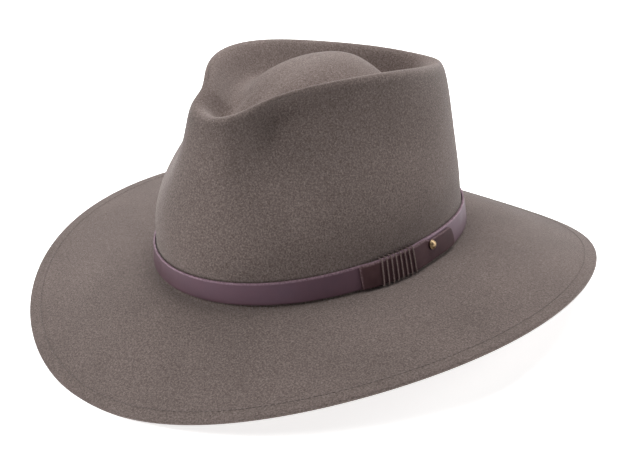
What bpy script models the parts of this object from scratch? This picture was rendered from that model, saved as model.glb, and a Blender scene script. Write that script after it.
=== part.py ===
"""Bush hat: felt crown and brim in one piece, with a leather band, a tab, its thread and a stud.

The front of the hat faces -Y and the wearer's left is +X. Angles go round the crown from the
front towards +X. Heights in the tables and functions are above the break, the line where the
crown turns out into the brim; the empty bush_hat_frame lifts everything so that the brim's front
and back edges lie on the plane z = 0.
"""
import math

import bmesh
import bpy
import numpy as np
from mathutils import Vector

# Driving dimensions, in metres
FELT = 0.0022                # thickness of the felt
HEAD_ROUND = 0.602           # outside of the crown, measured round the break
HEAD_RATIO = 1.195           # length of the head oval over its width
HEAD_TAPER = -0.013          # how much narrower the oval is at the front than at the middle
HEAD_SQUARE = 0.014          # how much its quarters are filled and its sides drawn in
BREAK_SWING = 0.0020         # the break is this much lower at the front and back, higher at the sides
SIDE_LEAN = 0.31             # how far the foot of the crown leans in at the sides, for its height
LEAN_END = 0.0045            # height above the band where the wall leaves that lean
BRIM_WIDTH = 0.0771          # from the break to the edge, measured level, front and back
BRIM_SIDE_WIDTH = 0.0843     # the same at the sides
BRIM_DROP = 0.0352           # fall of the edge below the break, front and back
BRIM_SIDE_DROP = 0.0042      # the same at the sides, which turn up
BRIM_QUARTER_RISE = 0.0040   # how far the edge stands above an even curve at the quarters
BREAK_TURN = 0.0050          # how far the turn from crown to brim reaches outwards
# Height of the crest above the break, every 30 degrees from the front to the back
CREST_HEIGHTS = (0.0988, 0.1067, 0.1154, 0.1141, 0.1057, 0.0985, 0.0954)
CREASE_REACH = 0.0220        # from the crest inwards to the bottom of the crease
CREASE_DEPTH = 0.0250        # from the crest down to the bottom of the crease
CREASE_FRONT = 0.60          # depth of the crease at the front, as a share of CREASE_DEPTH
DOME_HEIGHT = 0.1127         # top of the dome inside the crease, above the break
DOME_BACK = 0.0130           # how far the top of the dome lies behind the middle
PINCH_DEPTH = 0.0310         # how deep each front pinch goes
PINCH_SPREAD = 12.5          # degrees over which a pinch fades towards the front
PINCH_TAIL = 34.0            # degrees over which it fades towards the back
FLATTENING = 0.0008          # how much the felt gives where the brim rests

BAND_WIDTH = 0.0130
BAND_THICKNESS = 0.0014
BAND_SEAT = 0.0020           # lower edge of the band above the break
BAND_EASE = 0.0005           # between the crown and the back of the band
GAP = 0.0003                 # between pieces that touch
LEATHER_EDGE = 0.0003        # bevel on the edges of the leather

TAB_PLACE = 0.1815           # front end of the tab, as a share of the way round the crown
TAB_LENGTH = 0.0805
TAB_THICKNESS = 0.0010
TONGUE_LENGTH = 0.0276       # the narrower stretch at the back end of the tab
TONGUE_TOP_INSET = 0.0015    # how far the tongue's upper edge lies below the band's
TONGUE_FOOT_INSET = 0.0004   # how far its lower edge lies above the band's
TONGUE_CORNER = 0.0030       # radius of the tongue's corners

THREAD = 0.0008              # diameter of the wound thread
THREAD_TURNS = 8
THREAD_PITCH = 0.0034
THREAD_START = 0.0106        # from the tab's front end to the first turn

STUD_RADIUS = 0.0028
STUD_RISE = 0.0021           # height of the stud's dome
STUD_PLACE = 0.0249          # from the tongue's tip forward to the stud
STUD_LIFT = 0.0015           # of its middle above the band's middle line
SHANK_RADIUS = 0.0011

# Resolution
SEGMENTS = 28                # round the hat in the felt's cage, doubled by the subdivision
ROUND_SAMPLES = 720          # places at which the round of the crown is measured
TUBE_SEGMENTS = 2            # bevel resolution of the thread
TAB_COLUMNS = 10             # along the tab's wide stretch
TONGUE_COLUMNS = 4           # along its tongue
CORNER_COLUMNS = 3           # round a corner of the tongue, and of a turn of the thread
TURNED_STEPS = 16            # round the stud and its hole

# Brim sections: reach is a share of the brim's width, fall a share of the edge's fall at that angle
BRIM_SECTIONS = (
    {"reach": 1.00, "fall": 1.000},
    {"reach": 0.72, "fall": 0.700},
    {"reach": 0.42, "fall": 0.285},
    {"reach": 0.15, "fall": 0.050},
)

# Crown sections: height is a share of the crest's height at that angle, half_width a share of
# the head oval's half width, front and back shares of its half length; taper narrows the front,
# square fills the quarters, pinch is a share of PINCH_DEPTH, and pinch_at is its middle in
# degrees from the front
CROWN_SECTIONS = (
    {"height": 0.35, "half_width": 0.962, "front": 0.991, "back": 0.965,
     "taper": 0.000, "square": 0.000, "pinch": 0.00, "pinch_at": 40.0},
    {"height": 0.62, "half_width": 0.867, "front": 0.853, "back": 0.926,
     "taper": 0.056, "square": 0.017, "pinch": 0.10, "pinch_at": 38.0},
    {"height": 0.86, "half_width": 0.788, "front": 0.802, "back": 0.924,
     "taper": 0.085, "square": 0.005, "pinch": 1.00, "pinch_at": 40.0},
    {"height": 1.00, "half_width": 0.701, "front": 0.771, "back": 0.978,
     "taper": -0.040, "square": 0.000, "pinch": 0.26, "pinch_at": 32.0},
)

# Crease sections, from the crest inwards: reach is a share of CREASE_REACH, fall of the depth
CREASE_SECTIONS = (
    {"reach": 0.36, "fall": 0.04},
    {"reach": 0.68, "fall": 0.62},
    {"reach": 1.00, "fall": 1.00},
)

# Dome sections: size is a share of the crease's bottom line without the pinches, rise of the way
# up to the top
DOME_SECTIONS = (
    {"size": 0.68, "rise": 0.55},
    {"size": 0.36, "rise": 0.96},
)
DOME_TOP_RISE = 1.02         # centre of the cage, a little above the surface that it makes


def clear_scene():
    """Remove the objects that the scene starts with."""
    for scene_object in list(bpy.data.objects):
        bpy.data.objects.remove(scene_object)


def collection(name):
    """A new collection in the scene."""
    group = bpy.data.collections.new(name)
    bpy.context.scene.collection.children.link(group)
    return group


def principled(name, colour, roughness, metallic):
    """A plain material of one colour."""
    material = bpy.data.materials.new(name)
    material.use_nodes = True
    shader = material.node_tree.nodes["Principled BSDF"]
    shader.inputs["Base Color"].default_value = (*colour, 1.0)
    shader.inputs["Roughness"].default_value = roughness
    shader.inputs["Metallic"].default_value = metallic
    return material


def add_object(name, data, material, group, parent):
    """An object in its collection, under its parent, with its material."""
    piece = bpy.data.objects.new(name, data)
    piece.data.materials.append(material)
    group.objects.link(piece)
    piece.parent = parent
    return piece


def mesh_of_grid(name, grid, closed_round, pole=None):
    """A mesh of quads through a grid of points, closed round its columns, with a pole at its end."""
    rows, columns = grid.shape[:2]
    form = bmesh.new()
    points = [[form.verts.new(point) for point in row] for row in grid]
    last_column = columns if closed_round else columns - 1
    for row in range(rows - 1):
        for column in range(last_column):
            ahead = (column + 1) % columns
            form.faces.new((points[row][column], points[row][ahead],
                            points[row + 1][ahead], points[row + 1][column]))
    if pole is not None:
        top = form.verts.new(pole)
        for column in range(columns):
            form.faces.new((points[-1][column], points[-1][(column + 1) % columns], top))
    mesh = bpy.data.meshes.new(name)
    form.to_mesh(mesh)
    form.free()
    mesh.shade_smooth()
    return mesh


def section(angles, half_width, front, back, taper, square):
    """Closed oval: an ellipse whose front and back reach differ, tapered and squared by cosines."""
    half_length = (front + back) / 2
    x = half_width * np.sin(angles) * (1 - taper * np.cos(angles) + square * np.cos(2 * angles))
    y = (back - front) / 2 - half_length * np.cos(angles)
    return np.stack([x, y, 0 * angles], axis=1)


def head_oval(angles):
    """The oval at the break, as long round as HEAD_ROUND, with its half width and half length."""
    samples = np.arange(ROUND_SAMPLES + 1) * 2 * math.pi / ROUND_SAMPLES
    unit = section(samples, 1.0, HEAD_RATIO, HEAD_RATIO, HEAD_TAPER, HEAD_SQUARE)
    half_width = HEAD_ROUND / np.linalg.norm(np.diff(unit, axis=0), axis=1).sum()
    half_length = HEAD_RATIO * half_width
    ring = section(angles, half_width, half_length, half_length, HEAD_TAPER, HEAD_SQUARE)
    return ring, half_width, half_length


def outward(ring):
    """Level unit normals of a closed ring, pointing away from the hat's middle."""
    along = np.roll(ring, -1, axis=0) - np.roll(ring, 1, axis=0)
    normal = np.stack([-along[:, 1], along[:, 0], 0 * along[:, 0]], axis=1)
    normal /= np.linalg.norm(normal, axis=1)[:, None]
    return -normal if (normal * ring).sum() < 0 else normal


def shifted(ring, distance, height):
    """A ring moved outwards by a distance and set to a height, each a number or one for each point."""
    moved = ring + outward(ring) * (distance + np.zeros(len(ring)))[:, None]
    moved[:, 2] = height
    return moved


def front_to_side(ends, sides, angles):
    """A size that swings between its value at the front and back and its value at the sides."""
    return (ends + sides) / 2 + (ends - sides) / 2 * np.cos(2 * angles)


def break_height(angles):
    """Height of the break, which follows the brim's dip a little."""
    return front_to_side(-BREAK_SWING, BREAK_SWING, angles)


def edge_height(angles):
    """Height of the brim's edge: low at the front and back, eased at the quarters."""
    fall = front_to_side(BRIM_DROP, BRIM_SIDE_DROP, angles)
    return BRIM_QUARTER_RISE * (1 - np.cos(4 * angles)) / 2 - fall


def side_lean(angles, height):
    """How far the foot of the crown's wall lies inside the break at a height above it."""
    return SIDE_LEAN * height * np.sin(angles) ** 2


def crest_height(angles):
    """Height of the crest: the sum of cosines that goes through the heights of its table."""
    orders = np.arange(len(CREST_HEIGHTS))
    knots = orders * math.pi / (len(CREST_HEIGHTS) - 1)
    shares = np.linalg.solve(np.cos(np.outer(knots, orders)), CREST_HEIGHTS)
    return np.cos(np.outer(angles, orders)) @ shares


def pinch_depth(angles, middle):
    """Depth of the two front pinches: a bell curve on each side, longer towards the back."""
    from_front = np.degrees(np.abs((angles + math.pi) % (2 * math.pi) - math.pi))
    spread = np.where(from_front > middle, PINCH_TAIL, PINCH_SPREAD)
    return PINCH_DEPTH * np.exp(-((from_front - middle) / spread) ** 2)


def crease_depth(angles):
    """Depth of the crease round the dome: full at the sides and back, less at the front."""
    front = ((1 + np.cos(angles)) / 2) ** 3
    return CREASE_DEPTH * (1 - (1 - CREASE_FRONT) * front)


def felt_cage():
    """Rings of the felt's cage from the brim's edge to the dome, and the cage's last point."""
    angles = np.arange(SEGMENTS) * 2 * math.pi / SEGMENTS
    # The subdivision draws each ring in by this share, so the cage is that much fuller
    fullness = 1 / (0.75 + 0.25 * math.cos(2 * math.pi / SEGMENTS))
    base, half_width, half_length = head_oval(angles)
    width = front_to_side(BRIM_WIDTH, BRIM_SIDE_WIDTH, angles)
    foot = break_height(angles)
    rings = []
    for row in BRIM_SECTIONS:
        height = foot + (edge_height(angles) - foot) * row["fall"]
        rings.append(shifted(base, row["reach"] * width, height))
    rings.append(shifted(base, BREAK_TURN, foot))
    band_top = BAND_SEAT + BAND_WIDTH
    for rise in (0.0, BAND_SEAT + BAND_THICKNESS, band_top, band_top + LEAN_END):
        rings.append(shifted(base, -side_lean(angles, rise), foot + rise))

    crest = crest_height(angles)
    for row in CROWN_SECTIONS:
        pinch = pinch_depth(angles, row["pinch_at"])
        ring = section(angles, row["half_width"] * half_width, row["front"] * half_length,
                       row["back"] * half_length, row["taper"], row["square"])
        rings.append(shifted(ring, -row["pinch"] * pinch, row["height"] * crest))

    # The crease runs in square to the crest's plain oval, so its rings don't cross at the pinches
    crest_ring = rings[-1]
    crest_normals = outward(ring)
    depth = crease_depth(angles)
    for row in CREASE_SECTIONS:
        crease_ring = crest_ring - crest_normals * row["reach"] * CREASE_REACH
        crease_ring[:, 2] = crest - row["fall"] * depth
        rings.append(crease_ring)

    top = np.array([0.0, DOME_BACK, DOME_HEIGHT])
    plain_crease = ring - crest_normals * CREASE_REACH
    for row in DOME_SECTIONS:
        ring = top + (plain_crease - top) * row["size"]
        ring[:, 2] = crease_ring[:, 2] + (DOME_HEIGHT - crease_ring[:, 2]) * row["rise"]
        rings.append(ring)
    crease_level = crease_ring[:, 2].mean()
    pole = (top[0], top[1], crease_level + (DOME_HEIGHT - crease_level) * DOME_TOP_RISE)
    grid = np.array(rings)
    grid[:, :, :2] *= fullness
    return grid, pole


def evaluated_lowest(piece):
    """Height of the lowest point of a piece with its modifiers."""
    evaluated = piece.evaluated_get(bpy.context.evaluated_depsgraph_get())
    return min(vertex.co.z for vertex in evaluated.data.vertices)


def felt_body(group, cutters, parent, material):
    """Crown and brim: an open cage, subdivided and thickened inwards, flat where the brim rests."""
    grid, pole = felt_cage()
    piece = add_object("felt_body", mesh_of_grid("felt_body", grid, True, pole), material, group, parent)
    subdivision = piece.modifiers.new("smooth", "SUBSURF")
    subdivision.levels = 1
    subdivision.render_levels = 1
    wall = piece.modifiers.new("felt", "SOLIDIFY")
    wall.thickness = FELT
    wall.offset = -1
    wall.use_even_offset = True
    bpy.context.view_layer.update()
    rest = evaluated_lowest(piece) + FLATTENING

    reach = 2 * (HEAD_ROUND + BRIM_WIDTH)
    bpy.ops.mesh.primitive_cube_add(size=1)
    floor = bpy.context.object
    floor.name = "floor_cutter"
    floor.scale = (reach, reach, BRIM_WIDTH)
    floor.location = (0, 0, rest - BRIM_WIDTH / 2)
    floor.parent = parent
    for group_of_floor in list(floor.users_collection):
        group_of_floor.objects.unlink(floor)
    cutters.objects.link(floor)
    cut_with(piece, floor)
    return piece, rest


def cut_with(piece, cutter):
    """Cut one object with another by an exact Boolean, and show the cutter as a guide only."""
    cutter.hide_render = True
    cutter.display_type = "WIRE"
    cut = piece.modifiers.new("cut", "BOOLEAN")
    cut.operation = "DIFFERENCE"
    cut.solver = "EXACT"
    cut.object = cutter


def bump(place, start, end, ramp):
    """One between start and end, zero outside, with cosine ramps of the given length."""
    rise = np.clip((place - (start - ramp)) / ramp, 0, 1) * np.clip(((end + ramp) - place) / ramp, 0, 1)
    return (1 - np.cos(math.pi * rise)) / 2


class BandPath:
    """Places on the crown by distance round it from the front, distance out and height."""

    def __init__(self):
        self.angles = np.arange(ROUND_SAMPLES + 1) * 2 * math.pi / ROUND_SAMPLES
        self.ring = head_oval(self.angles)[0]
        steps = np.linalg.norm(np.diff(self.ring, axis=0), axis=1)
        self.places = np.concatenate([[0.0], np.cumsum(steps)])
        open_normals = outward(self.ring[:-1])
        self.normals = np.concatenate([open_normals, open_normals[:1]])
        self.round = self.places[-1]
        self.tab_start = TAB_PLACE * self.round
        self.tab_end = self.tab_start + TAB_LENGTH
        self.thread_start = self.tab_start + THREAD_START
        self.thread_end = self.thread_start + THREAD_TURNS * THREAD_PITCH

    def stand_off(self, place):
        """Distance from the crown to the band's back, larger where the thread passes behind it."""
        room = max(0.0, THREAD + 2 * GAP - BAND_EASE)
        return BAND_EASE + room * bump(place, self.thread_start, self.thread_end, BAND_WIDTH)

    def point(self, place, out, rise):
        """Point at a distance out from the band's back and a rise above the break."""
        place = np.asarray(place) % self.round
        angle = np.interp(place, self.places, self.angles)
        spot = np.stack([np.interp(place, self.places, self.ring[:, axis]) for axis in range(3)], axis=-1)
        normal = np.stack([np.interp(place, self.places, self.normals[:, axis]) for axis in range(3)],
                          axis=-1)
        spot = spot + normal * (self.stand_off(place) - side_lean(angle, rise) + out)[..., None]
        spot[..., 2] = break_height(angle) + rise
        return spot


def leather(piece, thickness):
    """Thicken a strip outwards and round its edges."""
    wall = piece.modifiers.new("leather", "SOLIDIFY")
    wall.thickness = thickness
    wall.offset = 1
    edge = piece.modifiers.new("edge", "BEVEL")
    edge.width = LEATHER_EDGE
    edge.segments = 1
    edge.limit_method = "ANGLE"


def hat_band(path, group, parent, material):
    """Strap: a closed strip round the crown, thickened outwards."""
    angles = np.arange(2 * SEGMENTS) * math.pi / SEGMENTS
    places = np.interp(angles, path.angles, path.places)
    step = BAND_WIDTH / 4
    fine = np.arange(path.thread_start - BAND_WIDTH, path.thread_end + BAND_WIDTH, step)
    plain = places[(places < fine[0] - step) | (places > fine[-1] + step)]
    places = np.sort(np.concatenate([plain, fine]))
    low = path.point(places, 0 * places, BAND_SEAT)
    high = path.point(places, 0 * places, BAND_SEAT + BAND_WIDTH)
    mesh = mesh_of_grid("hat_band", np.array([low, high]), True)
    piece = add_object("hat_band", mesh, material, group, parent)
    leather(piece, BAND_THICKNESS)
    return piece


def tab_outline(path):
    """Places along the tab with the insets of its edges there: straight, a shoulder, a tongue, corners."""
    tongue_start = path.tab_end - TONGUE_LENGTH
    straight = np.linspace(path.tab_start, tongue_start - TONGUE_TOP_INSET, TAB_COLUMNS)
    tongue = np.linspace(tongue_start, path.tab_end - TONGUE_CORNER, TONGUE_COLUMNS)
    turn = np.linspace(0, math.pi / 2, CORNER_COLUMNS + 1)[1:]
    corner = path.tab_end - TONGUE_CORNER + TONGUE_CORNER * np.sin(turn)
    places = np.concatenate([straight, tongue, corner])
    narrowing = np.concatenate([0 * straight, 0 * tongue, TONGUE_CORNER * (1 - np.cos(turn))])
    in_tongue = places >= tongue_start
    return places, narrowing + TONGUE_TOP_INSET * in_tongue, narrowing + TONGUE_FOOT_INSET * in_tongue


def band_tab(path, group, parent, material):
    """Overlay on the band: a strip cut to the tab's outline, thickened outwards."""
    places, top_inset, foot_inset = tab_outline(path)
    low = BAND_SEAT + foot_inset
    high = BAND_SEAT + BAND_WIDTH - top_inset
    out = BAND_THICKNESS + GAP + 0 * places
    rows = [path.point(places, out, rise) for rise in (low, (low + high) / 2, high)]
    piece = add_object("band_tab", mesh_of_grid("band_tab", np.array(rows), False), material, group, parent)
    leather(piece, TAB_THICKNESS)
    return piece


def thread_route(path):
    """Points of the wound thread: rounded turns round the band and the tab, one pitch apart."""
    clear = GAP + THREAD / 2
    inner, outer = -clear, BAND_THICKNESS + GAP + TAB_THICKNESS + clear
    low, high = BAND_SEAT - clear, BAND_SEAT + BAND_WIDTH + clear
    radius = clear
    corners = ((inner, low, 180), (outer, low, 270), (outer, high, 0), (inner, high, 90))
    loop = []
    for out, height, first in corners:
        centre_out = out + radius if out == inner else out - radius
        centre_height = height + radius if height == low else height - radius
        for step in np.linspace(0, 90, CORNER_COLUMNS):
            turn = math.radians(first + step)
            loop.append((centre_out + radius * math.cos(turn), centre_height + radius * math.sin(turn)))
    loop = np.array(loop)
    count = THREAD_TURNS * len(loop)
    turns = np.tile(loop, (THREAD_TURNS, 1))
    places = path.thread_start + THREAD_PITCH * (0.5 + np.arange(count) / len(loop))
    return path.point(places, turns[:, 0], turns[:, 1])


def thread_wrap(path, group, parent, material):
    """Wound thread: one round wire along its route."""
    points = thread_route(path)
    curve = bpy.data.curves.new("thread_wrap", "CURVE")
    curve.dimensions = "3D"
    spline = curve.splines.new("POLY")
    spline.points.add(len(points) - 1)
    for control, point in zip(spline.points, points):
        control.co = (*point, 1.0)
    curve.bevel_depth = THREAD / 2
    curve.bevel_resolution = TUBE_SEGMENTS
    curve.use_fill_caps = True
    return add_object("thread_wrap", curve, material, group, parent)


def stud_frame(path):
    """Foot of the stud on the band's back, and the direction square to the strap there."""
    place = path.tab_end - STUD_PLACE
    middle = BAND_SEAT + BAND_WIDTH / 2 + STUD_LIFT
    places = np.array([place, place - STUD_RADIUS, place + STUD_RADIUS, place, place])
    rises = np.array([middle, middle, middle, middle - STUD_RADIUS, middle + STUD_RADIUS])
    foot, before, after, below, above = path.point(places, 0.0, rises)
    return Vector(foot), Vector(np.cross(after - before, above - below)).normalized()


def stud_profile():
    """Half profile of the stud, from the dome's rim over its top to the end of the shank."""
    face = BAND_THICKNESS + GAP + TAB_THICKNESS + GAP
    turns = [math.radians(turn) for turn in (90, 70, 50, 30, 12, 0)]
    dome = [(STUD_RADIUS * math.cos(turn), face + STUD_RISE * math.sin(turn)) for turn in turns]
    return dome + [(SHANK_RADIUS, face), (SHANK_RADIUS, 0.0), (0.0, 0.0)]


def turned(name, profile, material, group, parent):
    """A profile of radius and height turned round Z, with its ends closed on the axis."""
    form = bmesh.new()
    points = [form.verts.new((radius, 0.0, height)) for radius, height in profile]
    for start, end in zip(points, points[1:]):
        form.edges.new((start, end))
    mesh = bpy.data.meshes.new(name)
    form.to_mesh(mesh)
    form.free()
    piece = add_object(name, mesh, material, group, parent)
    screw = piece.modifiers.new("turn", "SCREW")
    screw.axis = "Z"
    screw.angle = 2 * math.pi
    screw.steps = TURNED_STEPS
    screw.render_steps = TURNED_STEPS
    screw.use_merge_vertices = True
    screw.merge_threshold = 0.00001
    return piece


def stand_on(piece, spot, direction):
    """Place a turned piece at a spot with its axis along a direction."""
    piece.location = spot
    piece.rotation_euler = direction.to_track_quat("Z", "Y").to_euler()


def stud(path, group, cutters, parent, material, band, tab):
    """Domed stud, its shank in a hole through the tongue and the band."""
    spot, direction = stud_frame(path)
    piece = turned("stud", stud_profile(), material, group, parent)
    stand_on(piece, spot, direction)
    bore = SHANK_RADIUS + GAP
    depth = BAND_THICKNESS + TAB_THICKNESS
    for name, target in (("band_hole_cutter", band), ("tab_hole_cutter", tab)):
        profile = [(0.0, 2 * depth), (bore, 2 * depth), (bore, -depth), (0.0, -depth)]
        cutter = turned(name, profile, material, cutters, parent)
        stand_on(cutter, spot, direction)
        cut_with(target, cutter)
    return piece


def build():
    """Make the hat."""
    clear_scene()
    hat = collection("bush_hat")
    cutters = collection("cutters")
    frame = bpy.data.objects.new("bush_hat_frame", None)
    hat.objects.link(frame)

    felt = principled("felt", (0.155, 0.125, 0.115), 0.95, 0.0)
    strap = principled("strap_leather", (0.085, 0.055, 0.062), 0.42, 0.0)
    thread = principled("thread", (0.26, 0.19, 0.175), 0.70, 0.0)
    brass = principled("brass", (0.62, 0.45, 0.22), 0.30, 1.0)

    path = BandPath()
    body, rest = felt_body(hat, cutters, frame, felt)
    band = hat_band(path, hat, frame, strap)
    tab = band_tab(path, hat, frame, strap)
    thread_wrap(path, hat, frame, thread)
    stud(path, hat, cutters, frame, brass, band, tab)
    frame.location = (0.0, 0.0, -rest)


build()
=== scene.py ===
import math

import bpy
import numpy as np
from mathutils import Matrix, Vector


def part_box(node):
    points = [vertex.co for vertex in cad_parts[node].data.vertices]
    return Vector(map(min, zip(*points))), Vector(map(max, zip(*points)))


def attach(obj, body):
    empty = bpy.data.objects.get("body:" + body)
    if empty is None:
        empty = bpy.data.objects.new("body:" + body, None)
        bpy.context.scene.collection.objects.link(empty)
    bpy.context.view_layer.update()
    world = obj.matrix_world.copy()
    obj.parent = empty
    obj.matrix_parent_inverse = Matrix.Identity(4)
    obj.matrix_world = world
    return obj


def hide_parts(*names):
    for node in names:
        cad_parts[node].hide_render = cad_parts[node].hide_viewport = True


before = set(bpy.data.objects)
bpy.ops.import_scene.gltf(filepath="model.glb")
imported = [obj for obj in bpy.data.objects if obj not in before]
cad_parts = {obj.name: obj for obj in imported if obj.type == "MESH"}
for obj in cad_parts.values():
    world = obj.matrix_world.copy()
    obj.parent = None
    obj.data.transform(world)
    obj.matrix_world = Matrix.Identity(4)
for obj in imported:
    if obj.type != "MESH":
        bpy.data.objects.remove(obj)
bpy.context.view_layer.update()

# The hat stands on a plain floor that glows white, in soft studio light: a large light above
# and behind it, and four smaller ones round it. The camera looks down a little at the hat's left
# front quarter.
band_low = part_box("hat_band")[0]
hat_middle = Vector((0.0, 0.0, band_low.z))               # level with the band's lowest point
floor_mesh = bpy.data.meshes.new("studio_floor")
floor_reach = 6.0
floor_level = -0.0002
floor_mesh.from_pydata(
    [(x * floor_reach, y * floor_reach, floor_level) for x, y in ((-1, -1), (1, -1), (1, 1), (-1, 1))],
    [], [(0, 1, 2, 3)])
studio_floor = bpy.data.objects.new("studio_floor", floor_mesh)
bpy.context.scene.collection.objects.link(studio_floor)
floor_paint = bpy.data.materials.new("floor_paint")
floor_paint.use_nodes = True
floor_shader = floor_paint.node_tree.nodes["Principled BSDF"]
floor_shader.inputs["Base Color"].default_value = (0.88, 0.88, 0.88, 1)
floor_shader.inputs["Roughness"].default_value = 0.9
floor_shader.inputs["Emission Color"].default_value = (1.0, 1.0, 1.0, 1)
floor_shader.inputs["Emission Strength"].default_value = 0.75
floor_mesh.materials.append(floor_paint)

studio = bpy.data.worlds.new("studio")
studio.use_nodes = True
studio.node_tree.nodes["Background"].inputs["Color"].default_value = (1.0, 1.0, 1.0, 1)
studio.node_tree.nodes["Background"].inputs["Strength"].default_value = 0.04
bpy.context.scene.world = studio
bpy.context.scene.view_settings.view_transform = "Standard"

light_distance = 1.6
for name, azimuth, elevation, size, watts in (
        ("top_light", 185.0, 62.0, 1.0, 20.5), ("right_light", 140.0, 20.0, 0.8, 9.5),
        ("left_light", -50.0, 10.0, 0.7, 10.0), ("front_light", -10.0, 50.0, 0.7, 12.5),
        ("back_light", 240.0, 40.0, 0.8, 11.0)):
    turn, rise = math.radians(azimuth), math.radians(elevation)
    back = Vector((math.sin(turn) * math.cos(rise), -math.cos(turn) * math.cos(rise), math.sin(rise)))
    lamp = bpy.data.lights.new(name, "AREA")
    lamp.size = size
    lamp.energy = watts
    light = bpy.data.objects.new(name, lamp)
    light.location = hat_middle + back * light_distance
    light.rotation_mode = "QUATERNION"
    light.rotation_quaternion = back.to_track_quat("Z", "Y")
    bpy.context.scene.collection.objects.link(light)

view_azimuth = math.radians(46.8)
view_elevation = math.radians(24.2)
view_roll = math.radians(2.9)
view_distance = 0.7435
picture_width, picture_height = 621.0, 463.0
pixels_per_metre = 1587.0                                 # at the hat's middle
middle_pixel = (314.1, 233.4)
view_back = Vector((math.sin(view_azimuth) * math.cos(view_elevation),
                    -math.cos(view_azimuth) * math.cos(view_elevation), math.sin(view_elevation)))
lens = bpy.data.cameras.new("camera")
lens.sensor_width = 36.0
lens.lens = lens.sensor_width * pixels_per_metre * view_distance / picture_width
lens.shift_x = (picture_width / 2 - middle_pixel[0]) / picture_width
lens.shift_y = (middle_pixel[1] - picture_height / 2) / picture_width
lens.clip_start = 0.01
camera = bpy.data.objects.new("camera", lens)
camera.location = hat_middle + view_back * view_distance
camera.rotation_mode = "QUATERNION"
camera.rotation_quaternion = (view_back.to_track_quat("Z", "Y").to_matrix().to_4x4()
                              @ Matrix.Rotation(-view_roll, 4, "Z")).to_quaternion()
bpy.context.scene.collection.objects.link(camera)
bpy.context.scene.camera = camera

# Crown and brim: one piece of pressed wool felt, blocked over a form. The front is pinched from
# both sides, the crown has a crease round a dome, and the brim dips at the front and the back.
# Its edge is cut raw. Sizes are in metres; heights are above the break between crown and brim.
felt_thickness = 0.0022
head_round = 0.602
head_ratio = 1.195
head_taper = -0.013
head_square = 0.014
break_swing = 0.0020
side_lean = 0.31
lean_end = 0.0045                                         # above the band
brim_width = (0.0771, 0.0843)                             # front and back, sides
brim_drop = (0.0352, 0.0042)
brim_quarter_rise = 0.0040
break_turn = 0.0050
crest_heights = (0.0988, 0.1067, 0.1154, 0.1141, 0.1057, 0.0985, 0.0954)     # front to back
crease = {"reach": 0.0220, "depth": 0.0250, "front": 0.60}
dome = {"height": 0.1127, "back": 0.0130, "top_rise": 1.02}
pinch = {"depth": 0.0310, "spread": 12.5, "tail": 34.0}
band_width = 0.0130
band_thickness = 0.0014
band_seat = 0.0020
brim_sections = (
    {"reach": 1.00, "fall": 1.000},
    {"reach": 0.72, "fall": 0.700},
    {"reach": 0.42, "fall": 0.285},
    {"reach": 0.15, "fall": 0.050},
)
crown_sections = (
    {"height": 0.35, "half_width": 0.962, "front": 0.991, "back": 0.965,
     "taper": 0.0, "square": 0.0, "pinch": 0.0, "pinch_at": 40.0},
    {"height": 0.62, "half_width": 0.867, "front": 0.853, "back": 0.926,
     "taper": 0.056, "square": 0.017, "pinch": 0.10, "pinch_at": 38.0},
    {"height": 0.86, "half_width": 0.788, "front": 0.802, "back": 0.924,
     "taper": 0.085, "square": 0.005, "pinch": 1.0, "pinch_at": 40.0},
    {"height": 1.00, "half_width": 0.701, "front": 0.771, "back": 0.978,
     "taper": -0.04, "square": 0.0, "pinch": 0.26, "pinch_at": 32.0},
)
crease_sections = (
    {"reach": 0.36, "fall": 0.04},
    {"reach": 0.68, "fall": 0.62},
    {"reach": 1.00, "fall": 1.00},
)
dome_sections = (
    {"size": 0.68, "rise": 0.55},
    {"size": 0.36, "rise": 0.96},
)
foot_rings = 5                                            # the turn at the break, and four rises
shading_places = (-2.2, -1.0, -0.3, 0.0, 0.5)                # in sections past the crest
shading_values = (0.0, -0.45, -0.8, -0.1, 1.0)               # painted shade below the crest, painted light inside it on the crease and dome
edge_rows = 9
edge_bulge = 0.0005
break_level = band_low.z - band_seat + break_swing
felt_columns = 336
rows_per_section = 10


def oval(angles, half_width, front, back, taper=0.0, square=0.0):
    """An ellipse round Z: x is the half width times the sine of the angle, y minus the cosine
    times the half length, its middle moved so that front and back reach differ. Taper narrows
    the front by the cosine, and square fills the quarters by the cosine of twice the angle."""
    x = half_width * np.sin(angles) * (1 - taper * np.cos(angles) + square * np.cos(2 * angles))
    y = (back - front) / 2 - (front + back) / 2 * np.cos(angles)
    return np.stack([x, y, 0 * angles], axis=-1)


round_steps = 720
round_angles = np.arange(round_steps + 1) * 2 * math.pi / round_steps
unit_oval = oval(round_angles, 1.0, head_ratio, head_ratio, head_taper, head_square)
head_half_width = head_round / np.linalg.norm(np.diff(unit_oval, axis=0), axis=1).sum()
head_half_length = head_ratio * head_half_width


def outward(ring):
    """Level unit normals of a closed ring: its tangent turned a quarter outwards."""
    along = np.roll(ring, -1, axis=0) - np.roll(ring, 1, axis=0)
    normal = np.stack([along[:, 1], -along[:, 0], 0 * along[:, 0]], axis=-1)
    normal /= np.linalg.norm(normal, axis=1)[:, None]
    return normal * np.sign((normal * ring).sum())


def moved(ring, distance, height):
    """The ring moved outwards along its level normals, and set to a height."""
    result = ring + outward(ring) * (distance + np.zeros(len(ring)))[:, None]
    result[:, 2] = height
    return result


def front_to_side(ends, sides, angles):
    """A size that swings by the cosine of twice the angle between front and side values."""
    return (ends + sides) / 2 + (ends - sides) / 2 * np.cos(2 * angles)


def even_curve(values, angles):
    """A curve that is the same on both sides of the hat, through values at equal angles from the
    front to the back: the sum of as many cosines as there are values."""
    orders = np.arange(len(values))
    knots = orders * math.pi / (len(values) - 1)
    return np.cos(np.outer(angles, orders)) @ np.linalg.solve(np.cos(np.outer(knots, orders)), values)


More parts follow.
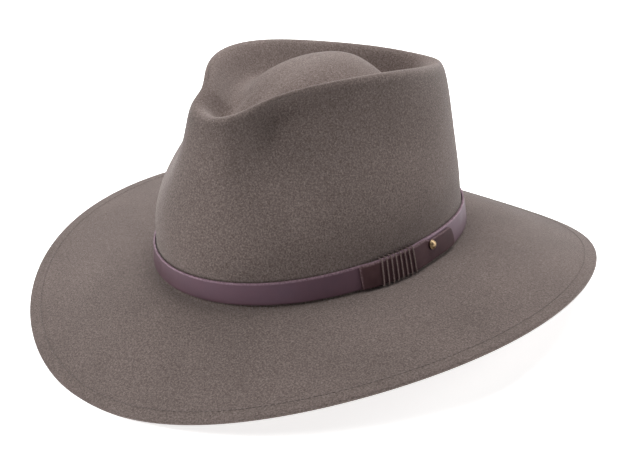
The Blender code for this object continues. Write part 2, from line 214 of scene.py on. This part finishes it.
def felt_rings(angles):
    """The felt's sections as rings of points: brim from its edge inwards, the turn at the break,
    the foot of the crown under the band, the crown's wall, the crease, the dome and its top.
    Each pinch is a bell of depth round its angle, wider towards the side."""
    base = oval(angles, head_half_width, head_half_length, head_half_length, head_taper, head_square)
    foot = front_to_side(-break_swing, break_swing, angles)
    width = front_to_side(*brim_width, angles)
    edge = brim_quarter_rise * (1 - np.cos(4 * angles)) / 2 - front_to_side(*brim_drop, angles)
    rings = [moved(base, row["reach"] * width, foot + (edge - foot) * row["fall"]) for row in brim_sections]
    rings.append(moved(base, break_turn, foot))
    for rise in (0.0, band_seat + band_thickness, band_seat + band_width, band_seat + band_width + lean_end):
        rings.append(moved(base, -side_lean * rise * np.sin(angles) ** 2, foot + rise))

    level = even_curve(crest_heights, angles)
    from_front = np.degrees(np.abs((angles + math.pi) % (2 * math.pi) - math.pi))
    for row in crown_sections:
        ring = oval(angles, row["half_width"] * head_half_width, row["front"] * head_half_length,
                    row["back"] * head_half_length, row["taper"], row["square"])
        spread = np.where(from_front > row["pinch_at"], pinch["tail"], pinch["spread"])
        pinched = pinch["depth"] * np.exp(-((from_front - row["pinch_at"]) / spread) ** 2)
        rings.append(moved(ring, -row["pinch"] * pinched, row["height"] * level))

    crest_ring = rings[-1]
    inward = -outward(ring)
    depth = crease["depth"] * (1 - (1 - crease["front"]) * ((1 + np.cos(angles)) / 2) ** 3)
    for row in crease_sections:
        bottom = crest_ring + inward * row["reach"] * crease["reach"]
        bottom[:, 2] = level - row["fall"] * depth
        rings.append(bottom)
    top = np.array([0.0, dome["back"], dome["height"]])
    plain_bottom = ring + inward * crease["reach"]
    for row in dome_sections:
        ring = top + (plain_bottom - top) * row["size"]
        ring[:, 2] = bottom[:, 2] + (dome["height"] - bottom[:, 2]) * row["rise"]
        rings.append(ring)
    middle = bottom[:, 2].mean()
    top[2] = middle + (dome["height"] - middle) * dome["top_rise"]
    rings.append(np.tile(top, (len(angles), 1)))
    return np.array(rings) + (0, 0, break_level)


def spline_weights(steps, count):
    """Weights of a uniform cubic spline through count sections and one more at each end: each
    step is a blend of the four sections round it, by the cubic B-spline's four polynomials."""
    cell = np.minimum(steps.astype(int), count - 2)
    t = steps - cell
    blend = np.stack([(1 - t) ** 3, 3 * t ** 3 - 6 * t ** 2 + 4,
                      -3 * t ** 3 + 3 * t ** 2 + 3 * t + 1, t ** 3], axis=1) / 6
    weights = np.zeros((len(steps), count + 2))
    weights[np.arange(len(steps))[:, None], cell[:, None] + np.arange(4)] = blend
    return weights


def felt_surface(angles, steps):
    """Outside of the felt on a grid of steps along the sections and angles round the hat: the
    spline of the section rings. The brim's edge is a free end, and the spline runs on over the
    top of the dome into the opposite side, so the top is smooth."""
    rings = felt_rings(angles)
    free_end = 2 * rings[0] - rings[1]
    over_top = np.roll(rings[-2], len(angles) // 2, axis=0)
    rings = np.concatenate([free_end[None], rings, over_top[None]])
    return np.tensordot(spline_weights(steps, len(rings) - 2), rings, 1)


def surface_normals(grid):
    """Unit normals of a grid closed round its columns: the cross product of its two tangents."""
    around = np.roll(grid, -1, axis=1) - np.roll(grid, 1, axis=1)
    normal = np.cross(around, np.gradient(grid, axis=0))
    return normal / np.maximum(np.linalg.norm(normal, axis=2, keepdims=True), 1e-12)


def grid_faces(rows, columns):
    """Quads of a grid of points, open along its rows and closed round its columns."""
    row = np.arange(rows - 1)[:, None]
    column = np.arange(columns)[None, :]
    beside = (column + 1) % columns
    corners = [row * columns + column, row * columns + beside,
               (row + 1) * columns + beside, (row + 1) * columns + column]
    return np.stack(np.broadcast_arrays(*corners), axis=-1).reshape(-1, 4)


def closed_tube(grid):
    """A grid closed round its columns, with a point in the middle of its first and its last row
    and triangles to it as caps: its points, and its faces in groups of corner numbers."""
    rows, columns = grid.shape[:2]
    points = np.concatenate([grid.reshape(-1, 3), [grid[0].mean(0), grid[-1].mean(0)]])
    here = np.arange(columns)
    beside = (here + 1) % columns
    last = (rows - 1) * columns
    first_cap = np.stack([beside, here, 0 * here + rows * columns], axis=1)
    last_cap = np.stack([last + here, last + beside, 0 * here + rows * columns + 1], axis=1)
    return points, [grid_faces(rows, columns), first_cap, last_cap]


def new_piece(name, points, face_groups, material, replaced=None):
    """A smooth piece at the origin from points and groups of faces, riding on the hat."""
    mesh = bpy.data.meshes.new(name)
    faces = [face for group in face_groups for face in group.tolist()]
    mesh.from_pydata(np.reshape(points, (-1, 3)).tolist(), [], faces)
    mesh.shade_smooth()
    mesh.materials.append(material)
    piece = bpy.data.objects.new(name, mesh)
    bpy.context.scene.collection.objects.link(piece)
    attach(piece, "root")
    if replaced:
        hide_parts(replaced)
    return piece


def add_values(piece, name, values):
    """Store one value for each point of a piece under a name, for its material to read."""
    attribute = piece.data.attributes.new(name, "FLOAT", "POINT")
    attribute.data.foreach_set("value", np.ascontiguousarray(values, dtype=np.float32).ravel())


def new_material(name, values):
    """A material, its nodes and its Principled shader, with plain values on the shader's sockets."""
    material = bpy.data.materials.new(name)
    material.use_nodes = True
    shader = material.node_tree.nodes["Principled BSDF"]
    for socket, value in values.items():
        shader.inputs[socket].default_value = value
    return material, material.node_tree, shader


def add_node(tree, kind, settings=None, links=None, **values):
    """A shader node of the tree, with its settings, links to its inputs and input values."""
    made = tree.nodes.new("ShaderNode" + kind)
    for name, value in (settings or {}).items():
        setattr(made, name, value)
    for name, value in values.items():
        made.inputs[name].default_value = value
    for name, output in (links or {}).items():
        tree.links.new(output, made.inputs[name])
    return made


def add_ramp(tree, source, stops):
    """A colour ramp of the tree over a value, with its stops as pairs of place and colour."""
    made = add_node(tree, "ValToRGB", links={"Fac": source})
    ramp = made.color_ramp
    while len(ramp.elements) < len(stops):
        ramp.elements.new(0.5)
    for element, (place, colour) in zip(ramp.elements, stops):
        element.position = place
        element.color = (*colour, 1)
    return made.outputs["Color"]


wool, wool_tree, wool_shader = new_material("wool_felt", {
    "Roughness": 0.95, "Specular IOR Level": 0.2, "Sheen Weight": 0.35, "Sheen Roughness": 0.35,
    "Sheen Tint": (0.95, 0.90, 0.88, 1)})
wool_place = add_node(wool_tree, "TexCoord").outputs["Object"]
mottle = add_node(wool_tree, "TexNoise", links={"Vector": wool_place},
                  Scale=1050.0, Detail=4.0, Roughness=0.8)
clouds = add_node(wool_tree, "TexNoise", links={"Vector": wool_place},
                  Scale=26.0, Detail=2.0, Roughness=0.5)
felt_fleck = add_ramp(wool_tree, mottle.outputs["Fac"], (
    (0.35, (0.080, 0.060, 0.053)), (0.51, (0.143, 0.112, 0.102)), (0.68, (0.236, 0.192, 0.178))))
felt_cloud = add_ramp(wool_tree, clouds.outputs["Fac"], (
    (0.30, (0.92, 0.92, 0.92)), (0.72, (1.07, 1.07, 1.07))))
felt_colour = add_node(wool_tree, "MixRGB", {"blend_type": "MULTIPLY"},
                       {"Color1": felt_fleck, "Color2": felt_cloud}, Fac=1.0)
# Painted shade and painted light: the felt's colour is scaled by 0.72 to 1.28 from a value on its points,
# darker below the crest where it overhangs, lighter inside the crest on the crease and dome.
shade_and_light = add_node(wool_tree, "Attribute", {"attribute_name": "shade_and_light"})
shading_factor = add_node(wool_tree, "MapRange", links={"Value": shade_and_light.outputs["Fac"]},
                      **{"From Min": -1.0, "From Max": 1.0, "To Min": 0.72, "To Max": 1.28})
shaded_felt_colour = add_node(wool_tree, "MixRGB", {"blend_type": "MULTIPLY"},
                       {"Color1": felt_colour.outputs["Color"], "Color2": shading_factor.outputs["Result"]},
                       Fac=1.0)
wool_tree.links.new(shaded_felt_colour.outputs["Color"], wool_shader.inputs["Base Color"])
nap = add_node(wool_tree, "TexNoise", links={"Vector": wool_place}, Scale=1100.0, Detail=4.0, Roughness=0.75)
nap_bump = add_node(wool_tree, "Bump", links={"Height": nap.outputs["Fac"]}, Strength=0.55, Distance=0.0005)
wool_tree.links.new(nap_bump.outputs["Normal"], wool_shader.inputs["Normal"])

felt_angles = np.arange(felt_columns) * 2 * math.pi / felt_columns
crest_step = len(brim_sections) + foot_rings + len(crown_sections) - 1
last_section = crest_step + 1 + len(crease_sections) + len(dome_sections)
outside_steps = np.linspace(0, last_section, last_section * rows_per_section + 1)
outside = felt_surface(felt_angles, outside_steps)
inside_of = felt_surface(felt_angles, outside_steps[::2])
inside = inside_of - surface_normals(inside_of) * felt_thickness
edge_turns = np.linspace(math.pi, 0, edge_rows)[1:-1, None, None]
cut_edge = ((outside[0] + inside[0]) / 2 + (outside[0] - inside[0]) / 2 * np.cos(edge_turns)
            + outward(outside[0]) * edge_bulge * np.sin(edge_turns))
felt_grid = np.concatenate([inside[-2::-1], cut_edge, outside[:-1]])
felt_grid[..., 2] = np.maximum(felt_grid[..., 2], 0.0)
felt_points, felt_faces = closed_tube(felt_grid)
felt_points[-1] = outside[-1].mean(0)
felt_points[-2] = outside[-1].mean(0) - (0, 0, felt_thickness)
felt_hat = new_piece("felt_hat", felt_points, felt_faces, wool, "felt_body")
# Painted shade below the crest and painted light inside it, one value for each row of the outside.
outside_shading = np.interp(outside_steps, crest_step + np.array(shading_places), shading_values)
row_shading = np.concatenate([np.zeros(len(inside) - 1 + len(cut_edge)), outside_shading[:-1]])
add_values(felt_hat, "shade_and_light", np.concatenate([np.repeat(row_shading, felt_columns), [outside_shading[-1], 0.0]]))

# Stitches: one row of thread through the brim, a little inside its edge, seen on both faces as
# short stretches that are pulled into the felt at their ends.
stitch_length = 0.0024
stitch_pitch = 0.0032
stitch_radius = 0.00020
stitch_step = 0.30                                        # how far the row lies from the edge, in sections
stitch_rows, stitch_sides = 5, 6
stitch_slope = 0.05                                       # between its rows of normals, in sections
stitch_arch = 0.9
stitch_fullness = 1.08                                    # over 1, so the ends stay blunt
waxed, waxed_tree, waxed_shader = new_material("stitch_thread", {"Roughness": 0.8, "Sheen Weight": 0.2})
waxed_place = add_node(waxed_tree, "TexCoord").outputs["Object"]
waxed_noise = add_node(waxed_tree, "TexNoise", links={"Vector": waxed_place}, Scale=1800.0, Detail=2.0)
waxed_colour = add_ramp(waxed_tree, waxed_noise.outputs["Fac"],
                        ((0.3, (0.100, 0.078, 0.070)), (0.7, (0.150, 0.120, 0.108))))
waxed_tree.links.new(waxed_colour, waxed_shader.inputs["Base Color"])

stitch_line = felt_surface(felt_angles, stitch_step + stitch_slope * np.array([-1, 0, 1]))
stitch_normals = surface_normals(stitch_line)[1]
closing = np.concatenate([stitch_line[1], stitch_line[1][:1]])
closing_normals = np.concatenate([stitch_normals, stitch_normals[:1]])
row_lengths = np.concatenate([[0.0], np.cumsum(np.linalg.norm(np.diff(closing, axis=0), axis=1))])
stitch_count = int(row_lengths[-1] / stitch_pitch)
along_stitch = np.linspace(-1, 1, stitch_rows)
places = ((np.arange(stitch_count) + 0.5)[:, None] * row_lengths[-1] / stitch_count
          + along_stitch * stitch_length / 2)
stitch_points, stitch_faces = [], []
for side, depth in ((1, 0.0), (-1, felt_thickness)):
    middle = np.stack([np.interp(places, row_lengths, closing[:, axis]) for axis in range(3)], axis=-1)
    normal = np.stack([np.interp(places, row_lengths, closing_normals[:, axis]) for axis in range(3)],
                      axis=-1)
    arch = (1 - along_stitch ** 2)[None, :, None] * stitch_radius
    middle = middle - normal * depth + side * normal * arch * stitch_arch
    tangent = np.gradient(middle, axis=1)
    tangent /= np.linalg.norm(tangent, axis=2, keepdims=True)
    across = np.cross(tangent, normal)
    turns = np.arange(stitch_sides) * 2 * math.pi / stitch_sides
    radius = stitch_radius * np.sqrt(stitch_fullness - along_stitch ** 2)[None, :, None, None]
    rim = radius * (across[:, :, None] * np.cos(turns)[:, None]
                    + normal[:, :, None] * np.sin(turns)[:, None])
    for stitch in middle[:, :, None] + rim:
        points, groups = closed_tube(stitch[:, ::-1])
        offset = sum(len(done) for done in stitch_points)
        stitch_points.append(points)
        stitch_faces += [group + offset for group in groups]
new_piece("brim_stitches", np.concatenate(stitch_points), stitch_faces, waxed)

# Band: a flat strap of finished leather round the foot of the crown, a closed loop. Its edges
# are rounded, the upper one is lighter in colour, and it stands off a little where the thread
# passes behind it.
band_ease = 0.0005
gap = 0.0003
thread_size = 0.0008
thread_turns = 8
thread_pitch = 0.0034
thread_start = 0.0106                                     # from the tab's front end
tab_place = 0.1815                                        # share of the round, from the front
tab_length = 0.0805
band_rows = 720
strap_corner = 0.0004
strap_crown = 0.0001
strap_upper_edge = (0.0012, 0.0008)                              # width of the lighter upper edge, and of its ramp


def strap_profile(half_width, thickness, corner, crown, side_count=14, corner_count=5):
    """Outline of a strap's cross-section as rises and distances out: a flat back, corners as
    quarter circles, and a face that is crowned by a parabola."""
    turns = np.linspace(0, math.pi / 2, corner_count)
    rises = np.linspace(-1, 1, side_count) * (half_width - corner)
    face = thickness - crown + crown * (1 - (rises / (half_width - corner)) ** 2)
    start = half_width - corner
    parts = [(rises[1:-1][::-1], 0 * rises[1:-1]),
             (-start - corner * np.sin(turns), corner - corner * np.cos(turns)),
             (-start - corner * np.cos(turns), thickness - crown - corner + corner * np.sin(turns)),
             (rises[1:-1], face[1:-1]),
             (start + corner * np.sin(turns), thickness - crown - corner + corner * np.cos(turns)),
             (start + corner * np.cos(turns), corner - corner * np.sin(turns))]
    return tuple(np.concatenate([part[axis] for part in parts]) for axis in (0, 1))


round_ring = unit_oval * head_half_width
round_normals = outward(round_ring[:-1])
round_normals = np.concatenate([round_normals, round_normals[:1]])
round_lengths = np.concatenate([[0.0], np.cumsum(np.linalg.norm(np.diff(round_ring, axis=0), axis=1))])
tab_start = tab_place * round_lengths[-1]
tab_end = tab_start + tab_length
thread_first = tab_start + thread_start
thread_last = thread_first + thread_turns * thread_pitch


def round_crown(place, out, rise):
    """Points at a distance round the crown from the front, a distance out from the band's back
    and a rise above the break. The band's back stands off more behind the thread, with cosine
    ramps, and leans in with the wall by the square of the angle's sine."""
    place = np.asarray(place) % round_lengths[-1]
    angle = np.interp(place, round_lengths, round_angles)
    spot = np.stack([np.interp(place, round_lengths, round_ring[:, axis]) for axis in range(3)], axis=-1)
    normal = np.stack([np.interp(place, round_lengths, round_normals[:, axis]) for axis in range(3)],
                      axis=-1)
    ramp = (np.clip((place - thread_first) / band_width + 1, 0, 1)
            * np.clip((thread_last - place) / band_width + 1, 0, 1))
    stand_off = band_ease + (thread_size + 2 * gap - band_ease) * (1 - np.cos(math.pi * ramp)) / 2
    spot = spot + normal * (stand_off - side_lean * rise * np.sin(angle) ** 2 + out)[..., None]
    spot[..., 2] = break_level + front_to_side(-break_swing, break_swing, angle) + rise
    return spot


def new_group(name, inputs, outputs):
    """A shader node group with its input and output nodes, from names and socket types."""
    group = bpy.data.node_groups.new(name, "ShaderNodeTree")
    for socket, kind, value in inputs:
        group.interface.new_socket(socket, in_out="INPUT", socket_type=kind).default_value = value
    for socket, kind in outputs:
        group.interface.new_socket(socket, in_out="OUTPUT", socket_type=kind)
    return group, group.nodes.new("NodeGroupInput"), group.nodes.new("NodeGroupOutput")


grain_group, grain_in, grain_out = new_group(
    "leather_grain",
    [("Scale", "NodeSocketFloat", 1500.0), ("Dark", "NodeSocketColor", (0.03, 0.02, 0.02, 1)),
     ("Light", "NodeSocketColor", (0.1, 0.07, 0.07, 1)), ("Edge Colour", "NodeSocketColor", (0.2, 0.15, 0.15, 1))],
    [("Color", "NodeSocketColor"), ("Height", "NodeSocketFloat"), ("Roughness", "NodeSocketFloat")])
grain_place = add_node(grain_group, "TexCoord").outputs["Object"]
pebbles = add_node(grain_group, "TexVoronoi", {"feature": "SMOOTH_F1"},
                   {"Vector": grain_place, "Scale": grain_in.outputs["Scale"]}, Smoothness=0.6)
pores = add_node(grain_group, "TexNoise", links={"Vector": grain_place},
                 Scale=900.0, Detail=4.0, Roughness=0.7)
patina = add_node(grain_group, "TexNoise", links={"Vector": grain_place},
                  Scale=60.0, Detail=3.0, Roughness=0.6)
height = add_node(grain_group, "Math", {"operation": "MULTIPLY_ADD"},
                  {0: pebbles.outputs["Distance"], 2: pores.outputs["Fac"]})
height.inputs[1].default_value = -0.6
grain_group.links.new(height.outputs[0], grain_out.inputs["Height"])
shade = add_node(grain_group, "MapRange", links={"Value": patina.outputs["Fac"]},
                 **{"From Min": 0.32, "From Max": 0.70})
face_colour = add_node(grain_group, "MixRGB", links={
    "Fac": shade.outputs["Result"], "Color1": grain_in.outputs["Dark"], "Color2": grain_in.outputs["Light"]})
edge_value = add_node(grain_group, "Attribute", {"attribute_name": "edge"})
edge_noise = add_node(grain_group, "MapRange", links={"Value": pores.outputs["Fac"]},
                     **{"From Min": 0.30, "From Max": 0.62})
edge_share = add_node(grain_group, "Math", {"operation": "MULTIPLY"},
               {0: edge_value.outputs["Fac"], 1: edge_noise.outputs["Result"]})
leather_colour = add_node(grain_group, "MixRGB", links={
    "Fac": edge_share.outputs[0], "Color1": face_colour.outputs["Color"], "Color2": grain_in.outputs["Edge Colour"]})
grain_group.links.new(leather_colour.outputs["Color"], grain_out.inputs["Color"])
gloss = add_node(grain_group, "MapRange", links={"Value": patina.outputs["Fac"]},
                 **{"From Min": 0.3, "From Max": 0.7, "To Min": 0.44, "To Max": 0.56})
grain_group.links.new(gloss.outputs["Result"], grain_out.inputs["Roughness"])


def leather_material(name, dark, light, edge_colour, scale, bump, shine):
    """Finished leather: the grain group's colour, roughness and bump under a shader with a
    lilac shine."""
    material, tree, shader = new_material(name, {
        "Specular IOR Level": shine, "Specular Tint": (1.0, 0.74, 0.98, 1)})
    grain = add_node(tree, "Group", {"node_tree": grain_group})
    for socket, value in (("Scale", scale), ("Dark", (*dark, 1)), ("Light", (*light, 1)),
                          ("Edge Colour", (*edge_colour, 1))):
        grain.inputs[socket].default_value = value
    tree.links.new(grain.outputs["Color"], shader.inputs["Base Color"])
    tree.links.new(grain.outputs["Roughness"], shader.inputs["Roughness"])
    relief = add_node(tree, "Bump", links={"Height": grain.outputs["Height"]}, Strength=0.35, Distance=bump)
    tree.links.new(relief.outputs["Normal"], shader.inputs["Normal"])
    return material


strap_leather = leather_material("strap_leather", (0.036, 0.011, 0.012), (0.058, 0.021, 0.023),
                                 (0.260, 0.170, 0.200), 1500.0, 0.0002, 1.0)
strap_rises, strap_outs = strap_profile(band_width / 2, band_thickness, strap_corner, strap_crown)
band_places = np.arange(band_rows) * round_lengths[-1] / band_rows
band_grid = round_crown(band_places[:, None], strap_outs + 0 * band_places[:, None],
                        band_seat + band_width / 2 + strap_rises + 0 * band_places[:, None])
band_grid = np.concatenate([band_grid, band_grid[:1]])[:, ::-1]
rows, columns = band_grid.shape[:2]
band_faces = grid_faces(rows, columns) % ((rows - 1) * columns)
leather_band = new_piece("leather_band", band_grid[:-1], [band_faces], strap_leather,
                         "hat_band")
strap_edge = np.clip((strap_rises - band_width / 2 + strap_upper_edge[0]) / strap_upper_edge[1], 0, 1)[::-1]
add_values(leather_band, "edge", np.tile(strap_edge, rows - 1))

# Tab: an overlay of the same leather, darker, on the left side of the band. It is cut straight
# at its front end, which shows the raw leather, and a narrower tongue with round corners is
# behind. Its face is bare.
tab_thickness = 0.0010
tongue_length = 0.0276
tongue_insets = (0.0015, 0.0004)                          # of its upper and lower edges
tongue_corner = 0.0030
shoulder_length = 0.0036                                  # of the step down to the tongue
tab_corner = 0.0003
tab_crown = 0.0001
tab_lip = (0.0003, 0.85)                                  # length of the thinner front end, its share
tab_upper_edge = (0.0010, 0.0007)                                # width of the lighter upper edge, and of its ramp
tab_end_rub = 0.0010
tab_leather = leather_material("tab_leather", (0.047, 0.023, 0.024), (0.073, 0.039, 0.040),
                               (0.210, 0.140, 0.150), 1700.0, 0.0002, 0.10)
tongue_start = tab_end - tongue_length
corner_turns = np.radians(np.linspace(0, 88, 12))
tab_places = np.concatenate([                             # closest at its ends and its shoulder
    tab_start + np.array([0.0, 0.0001, tab_lip[0]]),
    np.linspace(tab_start + 0.0008, tongue_start - 0.0026, 110),
    tongue_start + np.linspace(-0.0022, 0.0022, 16),
    np.linspace(tongue_start + 0.003, tab_end - tongue_corner - 0.0004, 32),
    tab_end - tongue_corner + tongue_corner * np.sin(corner_turns)])
shoulder = np.clip((tab_places - tongue_start + shoulder_length / 2) / shoulder_length, 0, 1)
shoulder = shoulder ** 2 * (3 - 2 * shoulder)
past = np.clip((tab_places - tab_end + tongue_corner) / tongue_corner, 0, 1)
tab_halves = ((band_width - sum(tongue_insets) * shoulder) / 2
              - tongue_corner * (1 - np.sqrt(1 - past ** 2)))
tab_middles = band_seat + band_width / 2 + (tongue_insets[1] - tongue_insets[0]) / 2 * shoulder
past_lip = np.clip((tab_places - tab_start) / tab_lip[0], 0, 1)[:, None]
tab_rises, tab_outs = strap_profile(band_width / 2, tab_thickness, tab_corner, tab_crown)
tab_scale = (tab_halves / (band_width / 2))[:, None]
tab_grid = round_crown(tab_places[:, None],
                       band_thickness + gap + tab_outs * (tab_lip[1] + (1 - tab_lip[1]) * past_lip),
                       tab_middles[:, None] + tab_rises * tab_scale)
tab_points, tab_faces = closed_tube(tab_grid[:, ::-1])
leather_tab = new_piece("leather_tab", tab_points, tab_faces, tab_leather, "band_tab")
tab_edge = np.clip((tab_rises - band_width / 2 + tab_upper_edge[0]) / tab_upper_edge[1], 0, 1)[::-1]
end_edge = 1 - np.clip((tab_places - tab_start) / tab_end_rub, 0, 1)
tab_edge = np.maximum(tab_edge, end_edge[:, None])
add_values(leather_tab, "edge", np.concatenate([tab_edge.ravel(), [1.0, 1.0]]))

# Thread: one waxed cord of three twisted strands, wound in eight open turns round the band and
# the tab. Both its ends are left behind the band.
turn_points = 96
corner_points = 9
cord_sides = 18
strands = 3
strand_relief = 0.10                                      # share of the cord's radius
strand_pitch = 0.0026
along_step = 0.0005
cord, cord_tree, cord_shader = new_material("waxed_cord", {"Roughness": 0.6, "Sheen Weight": 0.25})
cord_place = add_node(cord_tree, "TexCoord").outputs["Object"]
cord_noise = add_node(cord_tree, "TexNoise", links={"Vector": cord_place}, Scale=1400.0, Detail=3.0)
cord_groove_shade = add_node(cord_tree, "Attribute", {"attribute_name": "groove_shade"})
cord_light = add_ramp(cord_tree, cord_noise.outputs["Fac"],
                      ((0.30, (0.115, 0.072, 0.063)), (0.70, (0.21, 0.138, 0.122))))
# Painted shade in the grooves between the strands: the strands' colour is mixed towards dark brown where the
# cord's radius dips.
cord_colour = add_node(cord_tree, "MixRGB", links={"Fac": cord_groove_shade.outputs["Fac"], "Color1": cord_light},
                       Color2=(0.070, 0.050, 0.048, 1))
cord_tree.links.new(cord_colour.outputs["Color"], cord_shader.inputs["Base Color"])
cord_bump = add_node(cord_tree, "Bump", links={"Height": cord_noise.outputs["Fac"]},
                     Strength=0.4, Distance=0.0001)
cord_tree.links.new(cord_bump.outputs["Normal"], cord_shader.inputs["Normal"])

clear = gap + thread_size / 2                             # from the leather to the cord's middle
turn_low, turn_high = band_seat - clear, band_seat + band_width + clear
turn_inner, turn_outer = -clear, band_thickness + gap + tab_thickness + clear
runs = ((turn_inner, turn_low, 180), (turn_outer, turn_low, 270),
        (turn_outer, turn_high, 0), (turn_inner, turn_high, 90))
loop = []
for out, rise, first in runs:
    centre_out = out + clear * (1 if out == turn_inner else -1)
    centre_rise = rise + clear * (1 if rise == turn_low else -1)
    for step in np.radians(first + np.linspace(0, 90, corner_points)):
        loop.append((centre_out + clear * math.cos(step), centre_rise + clear * math.sin(step)))
loop = np.array(loop + loop[:1])
loop_lengths = np.concatenate([[0.0], np.cumsum(np.linalg.norm(np.diff(loop, axis=0), axis=1))])
turns_done = np.arange(thread_turns * turn_points) / turn_points
in_loop = (turns_done % 1.0) * loop_lengths[-1]
cord_outs = np.interp(in_loop, loop_lengths, loop[:, 0])
cord_rises = np.interp(in_loop, loop_lengths, loop[:, 1])
cord_places = thread_first + thread_pitch * (0.5 + turns_done)
cord_path = round_crown(cord_places, cord_outs, cord_rises)
tangent = np.gradient(cord_path, axis=0)
tangent /= np.linalg.norm(tangent, axis=1, keepdims=True)
along_band = round_crown(cord_places + along_step, cord_outs, cord_rises) - cord_path
side_way = along_band - tangent * (along_band * tangent).sum(1, keepdims=True)
side_way /= np.linalg.norm(side_way, axis=1, keepdims=True)
up_way = np.cross(tangent, side_way)
cord_lengths = np.concatenate([[0.0], np.cumsum(np.linalg.norm(np.diff(cord_path, axis=0), axis=1))])
cord_turns = np.arange(cord_sides) * 2 * math.pi / cord_sides
twist = 2 * math.pi * cord_lengths[:, None] / (strands * strand_pitch)
lobes = np.cos(strands * (cord_turns[None, :] - twist))
cord_radius = thread_size / 2 * (1 - strand_relief + strand_relief * lobes)
cord_grid = (cord_path[:, None] + side_way[:, None] * (np.cos(cord_turns) * cord_radius)[..., None]
             + up_way[:, None] * (np.sin(cord_turns) * cord_radius)[..., None])
cord_points, cord_faces = closed_tube(cord_grid)
wound_thread = new_piece("wound_thread", cord_points, cord_faces, cord, "thread_wrap")
# Painted shade: how deep each point lies in a groove between the strands.
add_values(wound_thread, "groove_shade", np.concatenate([np.clip(-lobes, 0, 1).ravel() ** 2, [0, 0]]))

# Stud: a small domed rivet of brass. Its shank goes through the tongue and the band, and its
# rim presses on the tongue.
stud_radius = 0.0028
stud_rise = 0.0021
stud_place = 0.0249                                       # from the tongue's end
stud_lift = 0.0015                                        # above the band's middle line
shank_radius = 0.0011
shank_core = 0.0001
rim_round = 0.0002
rim_height = 0.0005
rim_slope = 0.00025
dome_foot = 0.00065
dome_inset = 0.0004
stud_sides = 40
brass, brass_tree, brass_shader = new_material("worn_brass", {"Metallic": 1.0})
brass_place = add_node(brass_tree, "TexCoord").outputs["Object"]
tarnish = add_node(brass_tree, "TexNoise", links={"Vector": brass_place},
                   Scale=700.0, Detail=3.0, Roughness=0.6)
brass_colour = add_ramp(brass_tree, tarnish.outputs["Fac"], (
    (0.32, (0.27, 0.18, 0.10)), (0.55, (0.50, 0.36, 0.21)), (0.75, (0.70, 0.55, 0.36))))
brass_tree.links.new(brass_colour, brass_shader.inputs["Base Color"])
brass_gloss = add_node(brass_tree, "MapRange", links={"Value": tarnish.outputs["Fac"]},
                       **{"From Min": 0.3, "From Max": 0.7, "To Min": 0.48, "To Max": 0.32})
brass_tree.links.new(brass_gloss.outputs["Result"], brass_shader.inputs["Roughness"])
brass_bump = add_node(brass_tree, "Bump", links={"Height": tarnish.outputs["Fac"]},
                      Strength=0.25, Distance=0.0002)
brass_tree.links.new(brass_bump.outputs["Normal"], brass_shader.inputs["Normal"])

stud_middle = band_seat + band_width / 2 + stud_lift
spot = tab_end - stud_place
foot, before, after, below, above = round_crown(
    np.array([spot, spot - stud_radius, spot + stud_radius, spot, spot]), 0.0,
    stud_middle + np.array([0, 0, 0, -stud_radius, stud_radius]))
axis = np.cross(after - before, above - below)
axis /= np.linalg.norm(axis)
level = (after - before) / np.linalg.norm(after - before)
upright = np.cross(axis, level)
face = band_thickness + gap + tab_thickness + gap
dome_turns = np.linspace(0, math.pi / 2, 14)
dome_outs = (stud_radius - dome_inset) * np.cos(dome_turns[:-1])
dome_rises = face + dome_foot + (stud_rise - dome_foot) * np.sin(dome_turns[:-1])
profile = np.concatenate([
    [(shank_core, 0.0), (shank_radius, 0.0), (shank_radius, face), (stud_radius - rim_round, face),
     (stud_radius, face + rim_round), (stud_radius, face + rim_height),
     (stud_radius - rim_slope, face + dome_foot)],
    np.stack([dome_outs, dome_rises], axis=1)])
stud_turns = np.arange(stud_sides)[:, None] * 2 * math.pi / stud_sides
stud_grid = (foot + profile[:, 1, None, None] * axis
             + profile[:, 0, None, None] * (level * np.cos(stud_turns) + upright * np.sin(stud_turns)))
stud_points, stud_faces = closed_tube(stud_grid)
stud_points[-1] = foot + axis * (face + stud_rise)
new_piece("brass_stud", stud_points, stud_faces, brass, "stud")
